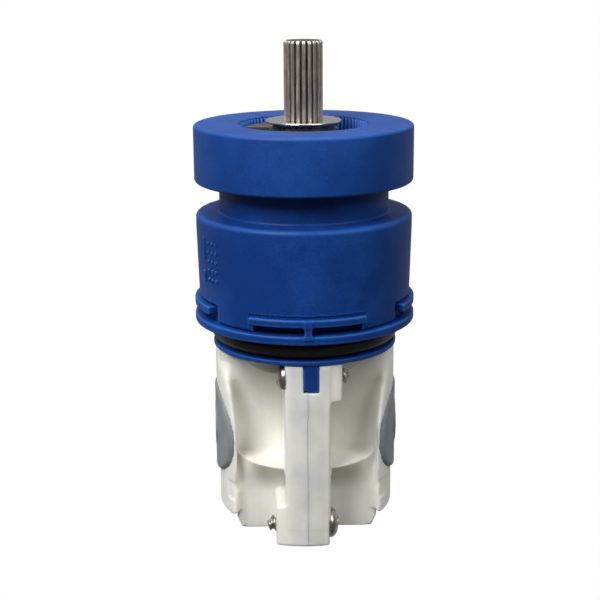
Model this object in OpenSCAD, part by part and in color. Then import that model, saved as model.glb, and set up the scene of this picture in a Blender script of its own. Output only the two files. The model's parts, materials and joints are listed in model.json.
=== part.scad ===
// Rotary diverter cartridge: a splined spindle turns a ceramic disc over a
// fixed ceramic disc, above a two-half casing with a seal on each side port.
// Millimetres. The foot of the casing is z = 0, the spindle's axis is Z, the
// side ports face +X and -X, and the wide front rib of the bayonet faces -Y.

/* [Spindle] */
// Diameter over the teeth of the spindle's spline
spline_d = 8; // [7.6:0.1:8.4]
// Number of teeth on the spline
spline_teeth = 20; // [16:1:24]
// Height of the spindle's top
spindle_top = 103.1; // [98:0.1:110]
// Diameter of the polished washer under the spline
washer_d = 15.66; // [13:0.1:17]
// Diameter of the journal that runs in the bush
journal_d = 8; // [7.6:0.1:8.2]
// Diameter of the sealed part of the spindle
seal_land_d = 12; // [11.8:0.1:12.4]

/* [Collar] */
// Outside diameter of the serrated collar
collar_d = 45.6; // [43:0.1:46.2]
// Height of the collar's upper face
collar_top = 86.3; // [85.5:0.1:87]
// Height of the collar
collar_h = 11.8; // [9:0.1:13]
// Diameter at the roots of the collar's inner teeth
serration_d = 26.8; // [25.5:0.1:28]
// Number of inner teeth in the collar
serrations = 80; // [60:4:100]

/* [Housing] */
// Diameter of the neck between the collar and the housing
neck_d = 35.4; // [34:0.1:37]
// Largest diameter of the housing
housing_d = 45.2; // [45:0.1:45.8]
// Height of the housing's shoulder
housing_top = 68.1; // [67:0.1:69]
// Diameter of the bayonet ring and its ribs
ring_d = 46.4; // [46.1:0.1:48]
// Height of the bayonet ring's upper face
ring_top = 46.9; // [46.5:0.1:47.2]
// Diameter over the body O-ring
o_ring_d = 39.6; // [38.5:0.1:40.5]
// Diameter of the lip under the O-ring
lip_d = 38.9; // [38.4:0.1:39.2]

/* [Casing] */
// Diameter over the casing's side pads
casing_d = 38.2; // [37.8:0.1:38.6]
// Width of the two joined flanges at the front and at the back
flange_w = 8.7; // [8:0.1:9.4]
// Half of the distance between the inner faces of the side pads
pad_x = 15; // [14.6:0.1:15.1]
// Height of the ledge in the scoops
ledge_z = 16.3; // [15.8:0.1:16.8]
// Height of the side ports' centres
port_z = 21.5; // [21:0.1:22]
// Diameter of the side ports
port_d = 7.2; // [6:0.2:9]
// Diameter of the casing screws' threads
screw_d = 3.5; // [3:0.1:3.6]
// Diameter of the casing screws' heads
head_d = 6.6; // [6:0.1:6.6]

/* [Balance spool] */
// Height of the sleeve's axis
sleeve_z = 8; // [7.8:0.1:8.2]
// Diameter of the bore that holds the sleeve
sleeve_bore_d = 13; // [12.8:0.1:13]
// Diameter of the sliding spool
spool_d = 7.9; // [7.6:0.1:7.94]

/* [Hidden] */
$fn = 96;
eps = 0.01;
far = 60;

// Heights, from the top down
collar_bottom = collar_top - collar_h;
recess_floor = collar_top - 7;
plate_top = collar_top - 1.1;
plate_t = 1;
plate_z = plate_top - plate_t;
washer_t = 0.5;
washer_z = collar_top + 0.2;
washer_top = washer_z + washer_t;
bush_flange_t = 0.7;
bush_top = plate_z - 0.1;
boss_top = bush_top - bush_flange_t;
bush_z = 74;
ceiling_z = 63.2;
thrust_top = 63.1;
flange_top = 62.4;
flange_z = 60.6;
tang_z = 56.6;
driver_top = 60.5;
driver_z = 55.6;
disc_face_z = 52;
disc_gap = 0.02;
fixed_disc_t = 3.6;
disc_floor_z = disc_face_z - fixed_disc_t - 0.3;
cup_top = 53;
rib_z = 48.7;
rib_top = 50.3;
window_top = 50.9;
ring_t = 1.75;
ring_z = ring_top - ring_t;
lip_t = 1;
seat_step = 0.1;
lip_z = 39.7;
groove_z = lip_z + lip_t;
casing_top = 39.5;
spigot_z = 35.9;
hook_top = 37.2;
gasket_t = 1.1;

// Spindle
spline_r = spline_d / 2;
spline_depth = 0.5;
spline_root_r = spline_r - spline_depth;
journal_r = journal_d / 2;
seal_land_r = seal_land_d / 2;
running_gap = 0.05;
thrust_r = 9;
tang_w = 14;
tang_t = 5;
spindle_o_ring_r = 0.75;
spindle_o_ring_z = [66.8, 70.2];
boss_r = 6.9;
bush_r = 5.6;

// Stop plate, its lobe and the two stops that the lobe meets
hub_r = 7.2;
hub_neck_r = 6.4;
lobe_r = 12.5;
lobe_from = 125;
lobe_to = 170;
travel = 120;
stop_gap = 1;
stop_w = 22;
stop_r = [9.6, 12.7];
inner_stop_r = [7.45, 8.8];
stop_top = plate_top - 0.3;
limit_ring_t = 2;

// Housing
collar_r = collar_d / 2;
neck_r = neck_d / 2;
housing_r = housing_d / 2;
housing_foot_r = housing_r - 0.5;
skirt_inner_r = 18.5;
ring_r = ring_d / 2;
rib_r = [22.2, ring_r - 0.02];
web_r = [22.25, ring_r - 0.04];
rib_half_angle = 31;
rib_web_w = 1.45;
window_half_angle = 35;
tab_half_angle = 30;
tab_inner_r = 20.8;
groove_r = 16.25;
o_ring_r = (o_ring_d / 2 - groove_r) / 2;
o_ring_z = (groove_z + ring_z) / 2;
lip_r = lip_d / 2;
seat_r = o_ring_d / 2 + 0.5;
cup_r = 15.6;
spigot_r = 9.7;
hook_r = 10.5;

// Discs and their ports: right, rear and left
disc_r = 15.4;
moving_disc_r = 14.4;
driver_r = 15;
port_circle_r = 6.6;
disc_port_r = 2.6;
disc_port_angles = [0, 90, 180];
cavity_h = 2.4;
cavity_angle = [-38, 98];
seal_r = 4.2;
seal_pocket_h = 1.5;
drive_lug_y = 12;

// Casing
casing_r = casing_d / 2;
foot_r = casing_r - 0.4;
pad_z = 3.5;
flange_x = flange_w / 2;
scoop_y = 4.6;
scoop_r = 21.2;
scoop_z = 20;
scoop_fillet = 1.5;
ledge_r = 16;
ledge_t = 0.8;
lower_wall_y = 8.5;
lower_scoop_r = 7.2;
port_r = port_d / 2;
port_bore_x = 14.6;
port_seal_rz = 10;
port_seal_ry = 11;
port_seal_x = 15.5;
port_seal_proud = 0.25;
sleeve_bore_r = sleeve_bore_d / 2;
sleeve_bore_x = 12.6;
screw_r = screw_d / 2;
head_r = head_d / 2;
head_h = 2.1;
screw_len = 12.7;
screw_y = -15;
upper_screw_z = 36.2;
lower_screw_z = 3.8;
boss_back_y = 6;
upper_boss = [0, 7.1, 31.4, casing_top];
lower_boss = [-6.7, 0, 0, 9];
key_x = [-0.95, 2.35];
key_z = 33.8;
key_depth = 1.7;

pad_recess_at = [30, 150, 210, 330];

// Sleeve and spool
sleeve_r = sleeve_bore_r - 0.1;
sleeve_len = 24.8;
sleeve_o_ring_r = 0.7;
sleeve_o_ring_x = [-10, 0, 10];
spool_r = spool_d / 2;
spool_bore_r = 4;
spool_len = 19;
spool_neck_r = 2.2;

// A ring sector between two radii, two angles and two heights
module sector(r, angles, z) {
    rotate([0, 0, angles[0]])
        rotate_extrude(angle = angles[1] - angles[0])
            translate([r[0], z[0]])
                square([r[1] - r[0], z[1] - z[0]]);
}

// A plain ring between two radii and two heights
module ring(r, z) {
    translate([0, 0, z[0]])
        difference() {
            cylinder(r = r[1], h = z[1] - z[0]);
            translate([0, 0, -1])
                cylinder(r = r[0], h = z[1] - z[0] + 2);
        }
}

// An O-ring around Z
module o_ring(centre_r, section_r, z) {
    translate([0, 0, z])
        rotate_extrude()
            translate([centre_r, 0])
                circle(r = section_r, $fn = 32);
}

// The children, and the children again half a turn round
module front_and_rear() {
    children();
    rotate([0, 0, 180])
        children();
}

// The three ways through the discs, the lower housing and the gasket
module disc_ports(r, z) {
    for (a = disc_port_angles)
        rotate([0, 0, a])
            translate([port_circle_r, 0, z[0]])
                cylinder(r = r, h = z[1] - z[0]);
}

// The spline's outline, which also keys the washer and the stop plate
module spline_outline(gap) {
    difference() {
        circle(r = spline_r + gap);
        for (i = [0 : spline_teeth - 1])
            rotate([0, 0, (i + 0.5) * 360 / spline_teeth])
                translate([spline_root_r + gap, 0])
                    polygon([[0, -0.1], [spline_depth + 0.2, -0.42],
                        [spline_depth + 0.2, 0.42], [0, 0.1]]);
    }
}

// Turned steel spindle with spline, journal, O-ring grooves and tang
module spindle() {
    chamfer = 0.6;
    relief = 0.2;
    color([0.55, 0.52, 0.48]) {
        translate([0, 0, plate_z - eps])
            intersection() {
                linear_extrude(spindle_top - plate_z + eps)
                    spline_outline(0);
                union() {
                    cylinder(r = spline_r + 1, h = spindle_top - plate_z - chamfer);
                    translate([0, 0, spindle_top - plate_z - chamfer])
                        cylinder(r1 = spline_r, r2 = spline_r - chamfer, h = chamfer + eps);
                }
            }
        translate([0, 0, bush_z - relief])
            cylinder(r = journal_r, h = plate_z - bush_z + relief);
        difference() {
            translate([0, 0, flange_top - eps])
                cylinder(r = seal_land_r, h = bush_z - relief / 2 - flange_top + eps);
            for (z = spindle_o_ring_z)
                ring([seal_land_r + running_gap - 2 * spindle_o_ring_r, seal_land_r + 1],
                    [z - 1.05, z + 1.05]);
        }
        translate([0, 0, flange_z])
            cylinder(r = thrust_r, h = flange_top - flange_z);
        translate([-tang_w / 2, -tang_t / 2, tang_z])
            cube([tang_w, tang_t, flange_z - tang_z + eps]);
    }
}

// Polished washer that closes the recess round the spindle
module spindle_washer() {
    color([0.8, 0.78, 0.74])
        translate([0, 0, washer_z])
            linear_extrude(washer_t)
                difference() {
                    circle(d = washer_d);
                    spline_outline(0.03);
                }
}

// Keyed plate whose lobe meets the stops at each end of the travel
module stop_plate() {
    color([0.7, 0.66, 0.6])
        difference() {
            union() {
                translate([0, 0, plate_z])
                    cylinder(r = hub_r, h = plate_t);
                translate([0, 0, plate_top - eps])
                    cylinder(r = hub_neck_r, h = washer_z - plate_top + eps);
                sector([5, lobe_r], [lobe_from, lobe_to], [plate_z, plate_top]);
            }
            translate([0, 0, plate_z - 1])
                linear_extrude(washer_z - plate_z + 2)
                    spline_outline(0.03);
        }
}

// Flanged brass bush pressed into the housing's central tube
module spindle_bush() {
    color([0.75, 0.6, 0.3])
        difference() {
            union() {
                translate([0, 0, bush_z])
                    cylinder(r = bush_r, h = bush_top - bush_z);
                translate([0, 0, boss_top])
                    cylinder(r = boss_r - 0.3, h = bush_flange_t);
            }
            translate([0, 0, bush_z - 1])
                cylinder(r = journal_r + running_gap, h = bush_top - bush_z + 2);
        }
}

// The two O-rings that seal the spindle in the housing
module spindle_o_rings() {
    color([0.08, 0.08, 0.08])
        for (z = spindle_o_ring_z)
            o_ring(seal_land_r + running_gap - spindle_o_ring_r, spindle_o_ring_r, z);
}

// Low-friction washer between the spindle's flange and the housing
module thrust_washer() {
    color([0.93, 0.93, 0.9])
        ring([seal_land_r + 0.15, thrust_r], [flange_top, thrust_top]);
}

// Blue collar, toothed inside, pressed onto the housing's neck
module serrated_collar() {
    edge = 0.5;
    tooth_h = 0.45;
    color([0.1, 0.25, 0.6])
        difference() {
            rotate_extrude()
                polygon([[0, collar_bottom], [collar_r - edge, collar_bottom],
                    [collar_r, collar_bottom + edge], [collar_r, collar_top - edge],
                    [collar_r - edge, collar_top], [0, collar_top]]);
            translate([0, 0, collar_bottom - 1])
                cylinder(r = neck_r, h = recess_floor - collar_bottom + 1);
            translate([0, 0, recess_floor - 1])
                linear_extrude(collar_h)
                    difference() {
                        circle(d = serration_d);
                        for (i = [0 : serrations - 1])
                            rotate([0, 0, i * 360 / serrations])
                                translate([serration_d / 2 - tooth_h, 0])
                                    polygon([[0, 0], [tooth_h + 0.2, -0.42], [tooth_h + 0.2, 0.42]]);
                    }
        }
}

// Ring with a lug, set tooth by tooth in the collar, that ends the travel
module limit_stop_ring() {
    lug_from = lobe_to + travel + stop_gap;
    outer_r = serration_d / 2 - 0.6;
    color([0.12, 0.12, 0.13]) {
        ring([stop_r[0] - 0.6, outer_r], [recess_floor, recess_floor + limit_ring_t]);
        sector([stop_r[0], outer_r - 0.1], [lug_from, lug_from + stop_w],
            [recess_floor + limit_ring_t - eps, stop_top]);
    }
}

// Blue housing: neck, bored central tube, shoulder and skirt with side windows
module upper_housing() {
    shoulder = 1;
    core_r = [9.6, 14.6];
    ribs = 6;
    rib_angle = 12;
    skirt_z = ring_top + 0.05;
    rib_gap = 0.3;
    stop_angles = [lobe_from - stop_gap - stop_w, lobe_from - stop_gap];
    color([0.1, 0.25, 0.6]) {
        difference() {
            union() {
                rotate_extrude()
                    polygon([[0, skirt_z], [housing_foot_r, skirt_z], [housing_r, housing_top - 3],
                        [housing_r, housing_top - shoulder],
                        [housing_r - shoulder / 3, housing_top - shoulder / 3],
                        [housing_r - shoulder, housing_top], [neck_r, housing_top],
                        [neck_r, recess_floor], [0, recess_floor]]);
                translate([0, 0, recess_floor - 1])
                    cylinder(r = boss_r, h = boss_top - recess_floor + 1);
                sector([boss_r - 1, inner_stop_r[1]], stop_angles, [recess_floor - 1, boss_top]);
                sector([inner_stop_r[0], inner_stop_r[1] - 0.05], stop_angles, [boss_top - 0.3, stop_top]);
            }
            translate([0, 0, skirt_z - 1])
                cylinder(r = skirt_inner_r, h = ceiling_z - skirt_z + 1);
            translate([0, 0, ceiling_z - 1])
                cylinder(r = seal_land_r + 2 * running_gap, h = bush_z - ceiling_z + 1);
            translate([0, 0, bush_z - eps])
                cylinder(r = bush_r, h = boss_top - bush_z + 1);
            for (i = [0 : ribs - 1])
                sector(core_r, [i * 360 / ribs + rib_angle / 2, (i + 1) * 360 / ribs - rib_angle / 2],
                    [ceiling_z - 1, recess_floor - 2.4]);
            for (a = [0, 180])
                sector([skirt_inner_r - 1, housing_r + 2], [a - window_half_angle, a + window_half_angle],
                    [skirt_z - 1, window_top]);
            for (a = [90, 270])
                sector([rib_r[0] - rib_gap, housing_r + 2],
                    [a - rib_half_angle - 1, a + rib_half_angle + 1], [skirt_z - 1, rib_top + rib_gap]);
        }
    }
}

// Lower housing: disc cup, bayonet ring and ribs, O-ring groove, lip, spigot and keys
module lower_housing() {
    core_r = [11.6, 14.4];
    ribs = 6;
    rib_angle = 14;
    core_top = 45.2;
    side_wall_top = rib_top;
    notch = 0.4;
    color([0.1, 0.25, 0.6]) {
        difference() {
            union() {
                rotate_extrude()
                    polygon([[0, spigot_z], [hook_r, spigot_z], [hook_r, hook_top], [spigot_r, hook_top],
                        [spigot_r, lip_z], [lip_r, lip_z], [lip_r, groove_z], [groove_r, groove_z],
                        [groove_r, ring_z + seat_step], [seat_r, ring_z + seat_step],
                        [seat_r, ring_z], [ring_r, ring_z], [ring_r, ring_top],
                        [skirt_inner_r - 0.05, ring_top], [skirt_inner_r - 0.05, cup_top], [0, cup_top]]);
                for (a = [0, 180]) {
                    sector([skirt_inner_r - 1, tab_inner_r], [a - tab_half_angle, a + tab_half_angle],
                        [ring_top - 0.5, side_wall_top]);
                    sector([tab_inner_r - 1, rib_r[1]], [a - tab_half_angle, a + tab_half_angle],
                        [rib_z, rib_top]);
                }
                front_and_rear() {
                    sector(rib_r, [270 - rib_half_angle, 270 + rib_half_angle], [rib_z, rib_top]);
                    intersection() {
                        ring(web_r, [ring_top - 0.5, rib_z + 0.5]);
                        translate([-rib_web_w / 2, -far, 0])
                            cube([rib_web_w, far, far]);
                    }
                }
            }
            translate([0, 0, disc_floor_z])
                cylinder(r = cup_r, h = far);
            disc_ports(disc_port_r, [spigot_z - 1, far]);
            disc_ports(seal_r + 0.05, [disc_floor_z - seal_pocket_h, far]);
            for (i = [0 : ribs - 1])
                sector(core_r, [i * 360 / ribs + rib_angle / 2, (i + 1) * 360 / ribs - rib_angle / 2],
                    [lip_z - 1, core_top]);
        }
        front_and_rear()
            difference() {
                intersection() {
                    ring([casing_r - key_depth, casing_r - 0.05], [key_z + 0.1, lip_z + 0.5]);
                    translate([key_x[0] + 0.1, -far, 0])
                        cube([key_x[1] - key_x[0] - 0.2, far, far]);
                }
                translate([key_x[0], -far, key_z])
                    cube([1, far, 0.1 + notch]);
            }
        for (a = [135, 315])
            sector([disc_r - 0.9, cup_r + 0.5], [a - 4, a + 4], [disc_floor_z - eps, disc_face_z - 0.6]);
    }
}

// O-ring that seals the insert in the valve body
module body_o_ring() {
    color([0.06, 0.06, 0.06])
        o_ring(groove_r + o_ring_r, o_ring_r, o_ring_z);
}

// Plastic driver between the spindle's tang and the moving disc
module disc_driver() {
    color([0.9, 0.9, 0.86]) {
        difference() {
            translate([0, 0, driver_z])
                cylinder(r = driver_r, h = driver_top - driver_z);
            translate([-tang_w / 2 - 0.1, -tang_t / 2 - 0.1, tang_z - 0.1])
                cube([tang_w + 0.2, tang_t + 0.2, 10]);
        }
        for (y = [-drive_lug_y, drive_lug_y])
            translate([-2, y - 1.2, driver_z - 1])
                cube([4, 2.4, 1 + eps]);
    }
}

// Moving ceramic disc: a blind cavity joins the rear port to one side port
module moving_disc() {
    color([0.96, 0.95, 0.9])
        difference() {
            translate([0, 0, disc_face_z + disc_gap])
                cylinder(r = moving_disc_r, h = driver_z - disc_face_z - disc_gap);
            sector([port_circle_r - disc_port_r - 0.4, port_circle_r + disc_port_r + 0.4],
                cavity_angle, [disc_face_z - 1, disc_face_z + cavity_h]);
            for (y = [-drive_lug_y, drive_lug_y])
                translate([-2.1, y - 1.3, driver_z - 1.1])
                    cube([4.2, 2.6, 2]);
        }
}

// Fixed ceramic disc with three ports, held by two notches
module fixed_disc() {
    color([0.93, 0.92, 0.88])
        difference() {
            translate([0, 0, disc_face_z - fixed_disc_t])
                cylinder(r = disc_r, h = fixed_disc_t);
            disc_ports(disc_port_r, [0, far]);
            for (a = [135, 315])
                sector([disc_r - 1, disc_r + 1], [a - 4.5, a + 4.5], [disc_face_z - fixed_disc_t - 1, far]);
        }
}

// The three rings that seal the ports under the fixed disc
module disc_seals() {
    color([0.08, 0.08, 0.08])
        difference() {
            disc_ports(seal_r, [disc_floor_z - seal_pocket_h, disc_face_z - fixed_disc_t]);
            disc_ports(disc_port_r, [0, far]);
        }
}

// Flat gasket between the lower housing's spigot and the casing
module casing_gasket() {
    color([0.1, 0.1, 0.1])
        difference() {
            translate([0, 0, spigot_z - gasket_t])
                cylinder(r = hook_r - 0.4, h = gasket_t);
            disc_ports(disc_port_r, [0, far]);
        }
}

// The outline of one port seal, seen along X
module port_outline(grow) {
    shift = port_seal_ry - port_seal_rz;
    for (y = [-shift, shift])
        translate([0, y, port_z])
            rotate([0, 90, 0])
                cylinder(r = port_seal_rz + grow, h = far);
    translate([0, -shift, port_z - port_seal_rz - grow])
        cube([far, 2 * shift, 2 * (port_seal_rz + grow)]);
}

// A bore along X through one side's port
module port_bore(r) {
    translate([port_bore_x, 0, port_z])
        rotate([0, 90, 0])
            cylinder(r = r, h = far);
}

// Grey seal round the right-hand port: flat at the back, curved like the casing in front
module port_seal() {
    color([0.55, 0.57, 0.58])
        difference() {
            intersection() {
                cylinder(r = casing_r + port_seal_proud, h = casing_top);
                translate([port_seal_x, -far, 0])
                    cube([far, 2 * far, far]);
                port_outline(0);
            }
            port_bore(port_r);
        }
}

module port_seal_right() {
    port_seal();
}

module port_seal_left() {
    rotate([0, 0, 180])
        port_seal();
}

// The curve of the casing's pads before the scoops are cut
module casing_envelope() {
    rotate_extrude()
        polygon([[0, pad_z], [foot_r - 0.5, pad_z], [foot_r, pad_z + 1], [foot_r, 11], [casing_r, 30],
            [casing_r, casing_top - 1.4], [casing_r - 0.4, casing_top - 0.4],
            [casing_r - 1, casing_top], [0, casing_top]]);
    rotate([90, 0, 0])
        linear_extrude(2 * lower_wall_y + 4, center = true)
            polygon([[1 - pad_x, 0], [pad_x - 1, 0], [pad_x - 0.05, 2.4], [pad_x - 0.05, pad_z + 1],
                [0.05 - pad_x, pad_z + 1], [0.05 - pad_x, 2.4]]);
}

// One front scoop's outline in the plane of Y and Z, above and below the ledge
module scoop_outline() {
    union() {
        intersection() {
            translate([scoop_y + scoop_r, scoop_z])
                circle(r = scoop_r);
            translate([0, scoop_z - eps])
                square(far);
        }
        translate([scoop_y + scoop_fillet, ledge_z])
            square([far, scoop_z - ledge_z]);
        translate([scoop_y, ledge_z + scoop_fillet])
            square([far, scoop_z - ledge_z - scoop_fillet]);
        translate([scoop_y + scoop_fillet, ledge_z + scoop_fillet])
            circle(r = scoop_fillet);
    }
    intersection() {
        translate([lower_wall_y + lower_scoop_r, ledge_z - ledge_t - lower_scoop_r])
            circle(r = lower_scoop_r);
        square([lower_wall_y + lower_scoop_r, far]);
    }
    translate([lower_wall_y, -1])
        square([far, ledge_z - ledge_t - lower_scoop_r + 1]);
    translate([lower_wall_y + lower_scoop_r - eps, -1])
        square([far, ledge_z - ledge_t + 1]);
}

// The two scoops on one face, with the ledge rounded to its own radius
module scoops() {
    for (x = [flange_x, -pad_x]) {
        translate([x, 0, 0])
            rotate([90, 0, 90])
                mirror([1, 0])
                    linear_extrude(pad_x - flange_x)
                        scoop_outline();
        difference() {
            translate([x, -far, -1])
                cube([pad_x - flange_x, far, ledge_z + 2]);
            translate([0, 0, -2])
                cylinder(r = ledge_r, h = far);
        }
    }
}

// Waterways inside one half of the casing
module waterways() {
    chamber = [10.9, port_bore_x + 0.4];
    chamber_y = 2.9;
    translate([port_circle_r, 0, sleeve_z])
        cylinder(r = disc_port_r, h = far);
    translate([chamber[0], -chamber_y, sleeve_z])
        cube([chamber[1] - chamber[0], 2 * chamber_y, port_z + 5 - sleeve_z]);
    port_bore(port_r);
    difference() {
        port_outline(0.05);
        translate([0, -far, 0])
            cube([port_seal_x - 0.05, 2 * far, far]);
    }
}

// Way out of the rear port, through a pocket that opens into the rear scoops
module outlet() {
    pocket_x = 7.2;
    pocket_y = [5, 9.3];
    pocket_z = [28.5, 33.3];
    translate([0, port_circle_r, pocket_z[0] + 1])
        cylinder(r = disc_port_r, h = far);
    translate([-pocket_x, pocket_y[0], pocket_z[0]])
        cube([2 * pocket_x, pocket_y[1] - pocket_y[0], pocket_z[1] - pocket_z[0]]);
}

// Slot in the top of the front flanges for the lower housing's key
module key_slot() {
    translate([key_x[0], -far, key_z])
        cube([key_x[1] - key_x[0], far - casing_r + key_depth + 0.25, far]);
}

// One casing screw along X, its head's seat at x = 0 and its head towards -X
module screw(thread_r) {
    rotate([0, 90, 0]) {
        cylinder(r = thread_r, h = screw_len - 1.6);
        translate([0, 0, screw_len - 1.6 - eps])
            cylinder(r1 = thread_r, r2 = 0.5, h = 1.6);
        translate([0, 0, -head_h])
            rotate_extrude()
                polygon([[0, 0], [head_r * 0.55, 0], [head_r * 0.85, 0.5], [head_r, 1.3], [head_r, head_h],
                    [0, head_h]]);
    }
}

// Places a child at the four casing screws
module at_screws() {
    front_and_rear() {
        translate([-flange_x, screw_y, upper_screw_z])
            children();
        translate([flange_x, screw_y, lower_screw_z])
            mirror([1, 0, 0])
                children();
    }
}

// Both halves of the casing as one block, before it is cut along x = 0
module casing_block() {
    difference() {
        union() {
            difference() {
                casing_envelope();
                front_and_rear()
                    scoops();
            }
            front_and_rear()
                intersection() {
                    cylinder(r = casing_r, h = casing_top);
                    union() {
                        for (b = [upper_boss, lower_boss])
                            translate([b[0], -far, b[2]])
                                cube([b[1] - b[0], far - boss_back_y, b[3] - b[2]]);
                        translate([-flange_x, -far, 0])
                            cube([2 * flange_x, far - 4, casing_top]);
                    }
                }
        }
        waterways();
        rotate([0, 0, 180])
            waterways();
        translate([-sleeve_bore_x, 0, sleeve_z])
            rotate([0, 90, 0])
                cylinder(r = sleeve_bore_r, h = 2 * sleeve_bore_x);
        translate([0, 0, spigot_z - gasket_t])
            cylinder(r = hook_r + 0.1, h = hook_top + 0.1 - spigot_z + gasket_t);
        translate([0, 0, hook_top])
            cylinder(r = spigot_r + 0.1, h = far);
        outlet();
        front_and_rear()
            key_slot();
        for (a = pad_recess_at)
            sector([foot_r - 0.4, casing_r + 1], [a - 4.3, a + 4.3], [7.1, 11.1]);
        at_screws() {
            screw(screw_r + 0.02);
            translate([-far, 0, 0])
                rotate([0, 90, 0])
                    cylinder(r = head_r + 0.3, h = far);
        }
    }
}

// One half of the casing: side 1 is the right-hand half and -1 the left-hand one
module casing_half(side) {
    color([0.88, 0.89, 0.85])
        intersection() {
            casing_block();
            translate([side > 0 ? 0 : -far, -far, -1])
                cube([far, 2 * far, far]);
        }
}

module casing_left() {
    casing_half(-1);
}

module casing_right() {
    casing_half(1);
}

// Four self-tapping screws that hold the halves together
module casing_screws() {
    slot = 0.7;
    color([0.62, 0.6, 0.58])
        at_screws()
            difference() {
                screw(screw_r);
                for (a = [0, 90])
                    rotate([a, 0, 0])
                        translate([-head_h - 1, -slot / 2, -head_r * 0.45])
                            cube([2.1, slot, head_r * 0.9]);
            }
}

// Brass sleeve across the casing, open to the inlets at its ends
module balance_sleeve() {
    color([0.78, 0.66, 0.38])
        translate([0, 0, sleeve_z])
            difference() {
                rotate([0, 90, 0])
                    difference() {
                        translate([0, 0, -sleeve_len / 2])
                            cylinder(r = sleeve_r, h = sleeve_len);
                        translate([0, 0, -far])
                            cylinder(r = spool_bore_r, h = 2 * far);
                        for (x = sleeve_o_ring_x)
                            ring([sleeve_bore_r - 0.02 - 2 * sleeve_o_ring_r, sleeve_bore_r + 1],
                                [x - 0.85, x + 0.85]);
                    }
                for (side = [-1, 1]) {
                    translate([side * port_circle_r, 0, 0])
                        cylinder(r = 1.9, h = far);
                    translate([side * (sleeve_len / 2), 0, far / 2])
                        cube([2.6, 5.8, far], center = true);
                }
            }
}

// Three O-rings that part the sleeve's inlets and outlets
module sleeve_o_rings() {
    color([0.08, 0.08, 0.08])
        translate([0, 0, sleeve_z])
            rotate([0, 90, 0])
                for (x = sleeve_o_ring_x)
                    o_ring(sleeve_bore_r - 0.02 - sleeve_o_ring_r, sleeve_o_ring_r, x);
}

// Spool that slides in the sleeve: two end lands and one in the middle
module balance_spool() {
    end_land = 1.8;
    middle_land = 3.6;
    color([0.75, 0.77, 0.8])
        translate([0, 0, sleeve_z])
            rotate([0, 90, 0]) {
                translate([0, 0, -spool_len / 2])
                    cylinder(r = spool_neck_r, h = spool_len);
                for (z = [-spool_len / 2, spool_len / 2 - end_land])
                    translate([0, 0, z])
                        cylinder(r = spool_r, h = end_land);
                translate([0, 0, -middle_land / 2])
                    cylinder(r = spool_r, h = middle_land);
            }
}

upper_housing();
serrated_collar();
lower_housing();
body_o_ring();
spindle_bush();
limit_stop_ring();
fixed_disc();
disc_seals();
casing_gasket();
casing_left();
casing_right();
casing_screws();
port_seal_left();
port_seal_right();
balance_sleeve();
sleeve_o_rings();
spindle();
spindle_washer();
stop_plate();
spindle_o_rings();
thrust_washer();
disc_driver();
moving_disc();
balance_spool();
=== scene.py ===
"""The looks of a rotary diverter cartridge: moulded blue housing, off-white casing halves, steel spindle."""
import json
import math

import bpy
import numpy as np
from mathutils import Matrix, Vector


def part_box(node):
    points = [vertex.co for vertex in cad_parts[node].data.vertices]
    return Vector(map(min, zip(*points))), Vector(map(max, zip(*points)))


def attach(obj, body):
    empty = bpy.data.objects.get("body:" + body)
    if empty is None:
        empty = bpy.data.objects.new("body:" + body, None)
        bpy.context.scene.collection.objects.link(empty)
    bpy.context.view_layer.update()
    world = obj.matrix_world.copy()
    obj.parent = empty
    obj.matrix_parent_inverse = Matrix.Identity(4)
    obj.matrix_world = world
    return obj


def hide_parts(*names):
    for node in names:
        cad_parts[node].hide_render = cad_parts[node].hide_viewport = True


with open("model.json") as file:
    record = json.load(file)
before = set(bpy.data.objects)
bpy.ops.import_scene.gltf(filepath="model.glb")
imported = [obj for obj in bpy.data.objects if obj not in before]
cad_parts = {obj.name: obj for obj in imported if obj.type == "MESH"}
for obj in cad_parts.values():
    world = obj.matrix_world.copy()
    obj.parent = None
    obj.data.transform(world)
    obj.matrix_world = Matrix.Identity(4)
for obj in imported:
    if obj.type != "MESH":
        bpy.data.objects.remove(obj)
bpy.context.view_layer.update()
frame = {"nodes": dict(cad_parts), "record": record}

# Shapes are worked out in millimetres and written to the meshes in metres.
MM = 0.001


def mm_box(node):
    """A CAD node's lowest and highest corners, in millimetres."""
    low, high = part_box(node)
    return np.array(low) / MM, np.array(high) / MM


# ---------------------------------------------------------------- sizes, from the frame
collar_low, collar_high = mm_box("serrated_collar")
housing_low, housing_high = mm_box("upper_housing")
lower_low, lower_high = mm_box("lower_housing")
ring_seal_low, ring_seal_high = mm_box("body_o_ring")
seal_low, seal_high = mm_box("port_seal_right")
washer_low, washer_high = mm_box("spindle_washer")
gasket_low, gasket_high = mm_box("casing_gasket")
sleeve_low, sleeve_high = mm_box("balance_sleeve")
casing_high = mm_box("casing_right")[1]
spindle_high = mm_box("spindle")[1]
plate_low = mm_box("stop_plate")[0]

collar_r = collar_high[0]
serration_r, tooth_h, serrations = 13.4, 0.45, 80
recess_depth = 7
recess_floor = collar_high[2] - recess_depth
neck_r = 17.7
housing_r = housing_high[0]
skirt_z = housing_low[2]
shoulder_z = 68.1
skirt_inner_r = 18.5
ring_r = lower_high[0]
ring_top, ring_t = skirt_z - 0.05, 1.75
rib_low, rib_top = ring_top + 1.8, ring_top + 3.4
rib_inner_r, tab_inner_r = 22.2, 20.8
window_top = ring_top + 4
groove_r = ring_seal_high[0] - (ring_seal_high[2] - ring_seal_low[2])
lip_r, lip_z, groove_z = 19.45, 39.7, 40.7
casing_r, casing_top = casing_high[1], casing_high[2]
port_z = (seal_low[2] + seal_high[2]) / 2
port_r, port_lip_r = 3.6, 5.0
port_circle_r, disc_port_r = 6.6, 2.6
spigot_r, hook_r = 9.7, gasket_high[0] + 0.4
sleeve_z = (sleeve_low[2] + sleeve_high[2]) / 2
# A radius past the outside of every piece, for cuts that go right through.
beyond = 30


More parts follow.
